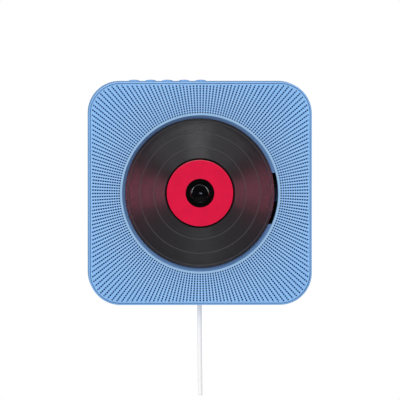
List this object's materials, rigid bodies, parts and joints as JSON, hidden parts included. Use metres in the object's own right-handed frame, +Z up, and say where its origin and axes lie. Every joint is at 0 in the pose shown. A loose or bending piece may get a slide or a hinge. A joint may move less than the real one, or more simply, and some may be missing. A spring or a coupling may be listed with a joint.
{
  "type": "wall mounted disc player",
  "caption": "Square wall mounted player with an open round disc well, a radial grille of square holes, push buttons along the top edge and a pull cord below.",
  "frame": {"origin": "middle of the wall bracket's two screw holes, on the wall plane; the disc turns about the line through it", "axes": "+Z up, the wall is the plane Y = 0 behind the player and the front faces -Y"},
  "size_m": [0.179, 0.042, 0.2538],
  "materials": {
    "bracket_steel": "satin powder coat",
    "housing_blue": "fine spark texture",
    "grille_blue": "fine spark texture",
    "grille_blue_back": "fine spark texture",
    "well_blue": "fine spark texture",
    "button_blue": "satin",
    "screw_steel": "zinc plated",
    "rubber_black": "matte",
    "deck_black": "matte",
    "sled_black": "satin",
    "hub_black": "polished",
    "lens_glass": "coated",
    "polished_steel": "ground",
    "motor_steel": "drawn",
    "disc_black": "grooved gloss",
    "label_red": "satin print",
    "gear_brass": "machined",
    "gear_natural": "moulded",
    "board_green": "solder mask",
    "board_part_dark": "moulded",
    "ribbon_grey": "flat cable",
    "basket_black": "black coat",
    "magnet_grey": "ferrite",
    "cone_paper": "pressed paper",
    "socket_black": "moulded",
    "slider_natural": "moulded",
    "spring_steel": "drawn wire",
    "cord_white": "satin jacket"
  },
  "bodies": {
    "bracket": {"wall_bracket": "bracket_steel"},
    "player": {"rear_cover": "housing_blue", "side_frame": "housing_blue", "front_grille": "grille_blue", "grille_rings": "grille_blue_back", "disc_well": "well_blue", "case_screws": "screw_steel", "wall_bumpers": "rubber_black", "deck_chassis": "deck_black", "deck_dampers": "rubber_black", "deck_screws": "screw_steel", "guide_rods": "polished_steel", "spindle_motor": "motor_steel", "feed_motor": "motor_steel", "gear_axle": "polished_steel", "main_board": "board_green", "board_parts": "board_part_dark", "board_screws": "screw_steel", "key_board": "board_green", "key_switches": "board_part_dark", "ribbon_cable": "ribbon_grey", "left_speaker_frame": "basket_black", "right_speaker_frame": "basket_black", "left_speaker_magnet": "magnet_grey", "right_speaker_magnet": "magnet_grey", "speaker_screws": "screw_steel", "dc_inlet": "socket_black", "pull_switch_case": "socket_black", "pull_spring": "spring_steel", "cord_bush": "cord_white"},
    "spindle": {"spindle_shaft": "polished_steel", "turntable": "hub_black", "spindle_hub": "hub_black", "retaining_balls": "polished_steel"},
    "record": {"disc": "disc_black", "disc_label": "label_red"},
    "sled": {"laser_sled": "sled_black"},
    "lens": {"lens_holder": "sled_black", "objective_lens": "lens_glass"},
    "idler": {"feed_gear": "gear_natural"},
    "rotor": {"motor_pinion": "gear_brass"},
    "pull": {"pull_slider": "slider_natural", "pull_cord": "cord_white"},
    "left_cone": {"left_speaker_cone": "cone_paper", "left_dust_cap": "cone_paper"},
    "right_cone": {"right_speaker_cone": "cone_paper", "right_dust_cap": "cone_paper"},
    "key_1": {"button_1": "button_blue"},
    "key_2": {"button_2": "button_blue"},
    "key_3": {"button_3": "button_blue"},
    "key_4": {"button_4": "button_blue"},
    "key_5": {"button_5": "button_blue"}
  },
  "joints": [
    {"name": "player_lift", "type": "slide", "parent": "bracket", "child": "player", "axis": [0, 0, 1], "range_m": [0, 0.01]},
    {"name": "spindle_spin", "type": "hinge", "parent": "player", "child": "spindle", "pos_m": [0, -0.03, 0], "axis": [0, -1, 0], "continuous": true},
    {"name": "disc_lift", "type": "slide", "parent": "spindle", "child": "record", "axis": [0, -1, 0], "range_m": [0, 0.03]},
    {"name": "sled_slide", "type": "slide", "parent": "player", "child": "sled", "axis": [1, 0, 0], "range_m": [0, 0.034]},
    {"name": "lens_focus", "type": "slide", "parent": "sled", "child": "lens", "axis": [0, -1, 0], "range_m": [-0.0004, 0.0004], "stiffness_N_per_m": 60},
    {"name": "idler_spin", "type": "hinge", "parent": "player", "child": "idler", "pos_m": [0.03, -0.0219, -0.0288], "axis": [0, 1, 0], "range_deg": [-1, 406.5]},
    {"name": "rotor_spin", "type": "hinge", "parent": "player", "child": "rotor", "pos_m": [0.01702, -0.0252, -0.03404], "axis": [0, 1, 0], "range_deg": [-1869, 4]},
    {"name": "cord_pull", "type": "slide", "parent": "player", "child": "pull", "axis": [0, 0, -1], "range_m": [0, 0.006], "stiffness_N_per_m": 300, "springref_m": -0.005, "deforming": ["pull_spring"]},
    {"name": "left_cone_stroke", "type": "slide", "parent": "player", "child": "left_cone", "axis": [0, -1, 0], "range_m": [-0.0008, 0.0008], "stiffness_N_per_m": 400},
    {"name": "right_cone_stroke", "type": "slide", "parent": "player", "child": "right_cone", "axis": [0, -1, 0], "range_m": [-0.0008, 0.0008], "stiffness_N_per_m": 400},
    {"name": "button_1_press", "type": "slide", "parent": "player", "child": "key_1", "axis": [0, 0, -1], "range_m": [0, 0.0008], "stiffness_N_per_m": 400, "springref_m": -0.002},
    {"name": "button_2_press", "type": "slide", "parent": "player", "child": "key_2", "axis": [0, 0, -1], "range_m": [0, 0.0008], "stiffness_N_per_m": 400, "springref_m": -0.002},
    {"name": "button_3_press", "type": "slide", "parent": "player", "child": "key_3", "axis": [0, 0, -1], "range_m": [0, 0.0008], "stiffness_N_per_m": 400, "springref_m": -0.002},
    {"name": "button_4_press", "type": "slide", "parent": "player", "child": "key_4", "axis": [0, 0, -1], "range_m": [0, 0.0008], "stiffness_N_per_m": 400, "springref_m": -0.002},
    {"name": "button_5_press", "type": "slide", "parent": "player", "child": "key_5", "axis": [0, 0, -1], "range_m": [0, 0.0008], "stiffness_N_per_m": 400, "springref_m": -0.002}
  ],
  "couplings": [
    {"joint": "idler_spin", "follows": "sled_slide", "rad_per_m": 208.33},
    {"joint": "rotor_spin", "follows": "sled_slide", "rad_per_m": -958.33}
  ]
}
